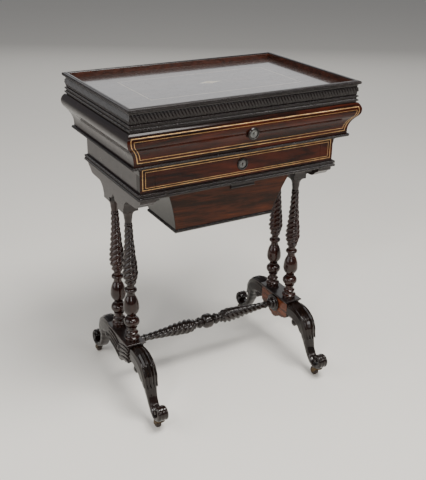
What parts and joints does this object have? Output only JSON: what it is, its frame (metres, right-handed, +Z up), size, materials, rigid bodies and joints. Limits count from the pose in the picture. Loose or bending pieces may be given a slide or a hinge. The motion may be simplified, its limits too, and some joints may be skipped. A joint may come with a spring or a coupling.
{
  "type": "sewing table",
  "caption": "Lidded sewing table with ogee work box, drawer and sliding bin on twisted columns, scroll legs and casters.",
  "frame": {"origin": "on the floor under the middle of the table", "axes": "+Z up, X along the width, -Y towards the front where the drawer opens"},
  "size_m": [0.557, 0.4088, 0.745],
  "materials": {
    "ebonised_wood": "french polished, black-brown",
    "rosewood_veneer": "french polished, gloss",
    "turned_rosewood": "french polished, gloss",
    "brass_inlay": "polished, flush",
    "lock_brass": "aged, satin",
    "escutcheon_horn": "turned and polished",
    "interior_wood": "waxed, satin",
    "mirror_glass": "silvered",
    "caster_wheel_wood": "turned, worn"
  },
  "bodies": {
    "case_and_stand": {"ogee_front": "rosewood_veneer", "ogee_rear": "ebonised_wood", "ogee_left": "ebonised_wood", "ogee_right": "ebonised_wood", "case_stringing": "brass_inlay", "ogee_ripple_moulding": "ebonised_wood", "case_hinge_leaves": "lock_brass", "lid_lock_case": "lock_brass", "lid_escutcheon": "escutcheon_horn", "sewing_tray": "interior_wood", "dust_board": "interior_wood", "case_side_left": "ebonised_wood", "case_side_right": "ebonised_wood", "case_back": "interior_wood", "front_stiles": "rosewood_veneer", "runners": "interior_wood", "base_ripple_moulding": "ebonised_wood", "bracket_left": "ebonised_wood", "bracket_right": "ebonised_wood", "plinth_left": "ebonised_wood", "plinth_right": "ebonised_wood", "end_rail_left": "ebonised_wood", "end_rail_right": "ebonised_wood", "stretcher": "turned_rosewood", "stretcher_rosettes": "ebonised_wood", "caster_plates": "lock_brass", "column_front_left": "turned_rosewood", "column_front_right": "turned_rosewood", "column_rear_left": "turned_rosewood", "column_rear_right": "turned_rosewood", "leg_front_left": "ebonised_wood", "leg_front_right": "ebonised_wood", "leg_rear_left": "ebonised_wood", "leg_rear_right": "ebonised_wood"},
    "lid": {"lid_panel": "rosewood_veneer", "lid_moulding": "ebonised_wood", "lid_inlay": "brass_inlay", "lid_mirror": "mirror_glass", "lid_mirror_frame": "interior_wood", "lid_hinge_leaves": "lock_brass", "lid_strike_plate": "lock_brass"},
    "lid_lock_bolt": {"lid_lock_bolt": "lock_brass"},
    "drawer": {"drawer_front": "rosewood_veneer", "drawer_box": "interior_wood", "drawer_stringing": "brass_inlay", "drawer_lock_case": "lock_brass", "drawer_escutcheon": "escutcheon_horn"},
    "drawer_lock_bolt": {"drawer_lock_bolt": "lock_brass"},
    "bin": {"bin_frame": "interior_wood", "bin_front_moulding": "ebonised_wood", "bin_walls": "rosewood_veneer", "bin_bottom": "ebonised_wood"},
    "caster_front_left": {"caster_fork_front_left": "lock_brass"},
    "wheel_front_left": {"caster_wheel_front_left": "caster_wheel_wood"},
    "caster_front_right": {"caster_fork_front_right": "lock_brass"},
    "wheel_front_right": {"caster_wheel_front_right": "caster_wheel_wood"},
    "caster_rear_left": {"caster_fork_rear_left": "lock_brass"},
    "wheel_rear_left": {"caster_wheel_rear_left": "caster_wheel_wood"},
    "caster_rear_right": {"caster_fork_rear_right": "lock_brass"},
    "wheel_rear_right": {"caster_wheel_rear_right": "caster_wheel_wood"}
  },
  "joints": [
    {"name": "lid_hinge", "type": "hinge", "parent": "case_and_stand", "child": "lid", "pos_m": [0, 0.1815, 0.6972], "axis": [-1, 0, 0], "range_deg": [0, 95]},
    {"name": "drawer_slide", "type": "slide", "parent": "case_and_stand", "child": "drawer", "axis": [0, -1, 0], "range_m": [0, 0.2]},
    {"name": "bin_slide", "type": "slide", "parent": "case_and_stand", "child": "bin", "axis": [0, -1, 0], "range_m": [0, 0.19]},
    {"name": "lid_lock_throw", "type": "slide", "parent": "case_and_stand", "child": "lid_lock_bolt", "axis": [1, 0, 0], "range_m": [0, 0.009]},
    {"name": "drawer_lock_throw", "type": "slide", "parent": "drawer", "child": "drawer_lock_bolt", "axis": [0, 0, 1], "range_m": [0, 0.005]},
    {"name": "swivel_front_left", "type": "hinge", "parent": "case_and_stand", "child": "caster_front_left", "pos_m": [-0.22, -0.18, 0.026], "axis": [0, 0, 1], "continuous": true},
    {"name": "roll_front_left", "type": "hinge", "parent": "caster_front_left", "child": "wheel_front_left", "pos_m": [-0.22, -0.167, 0.011], "axis": [1, 0, 0], "continuous": true},
    {"name": "swivel_front_right", "type": "hinge", "parent": "case_and_stand", "child": "caster_front_right", "pos_m": [0.22, -0.18, 0.026], "axis": [0, 0, 1], "continuous": true},
    {"name": "roll_front_right", "type": "hinge", "parent": "caster_front_right", "child": "wheel_front_right", "pos_m": [0.22, -0.167, 0.011], "axis": [1, 0, 0], "continuous": true},
    {"name": "swivel_rear_left", "type": "hinge", "parent": "case_and_stand", "child": "caster_rear_left", "pos_m": [-0.22, 0.18, 0.026], "axis": [0, 0, 1], "continuous": true},
    {"name": "roll_rear_left", "type": "hinge", "parent": "caster_rear_left", "child": "wheel_rear_left", "pos_m": [-0.22, 0.193, 0.011], "axis": [1, 0, 0], "continuous": true},
    {"name": "swivel_rear_right", "type": "hinge", "parent": "case_and_stand", "child": "caster_rear_right", "pos_m": [0.22, 0.18, 0.026], "axis": [0, 0, 1], "continuous": true},
    {"name": "roll_rear_right", "type": "hinge", "parent": "caster_rear_right", "child": "wheel_rear_right", "pos_m": [0.22, 0.193, 0.011], "axis": [1, 0, 0], "continuous": true}
  ]
}
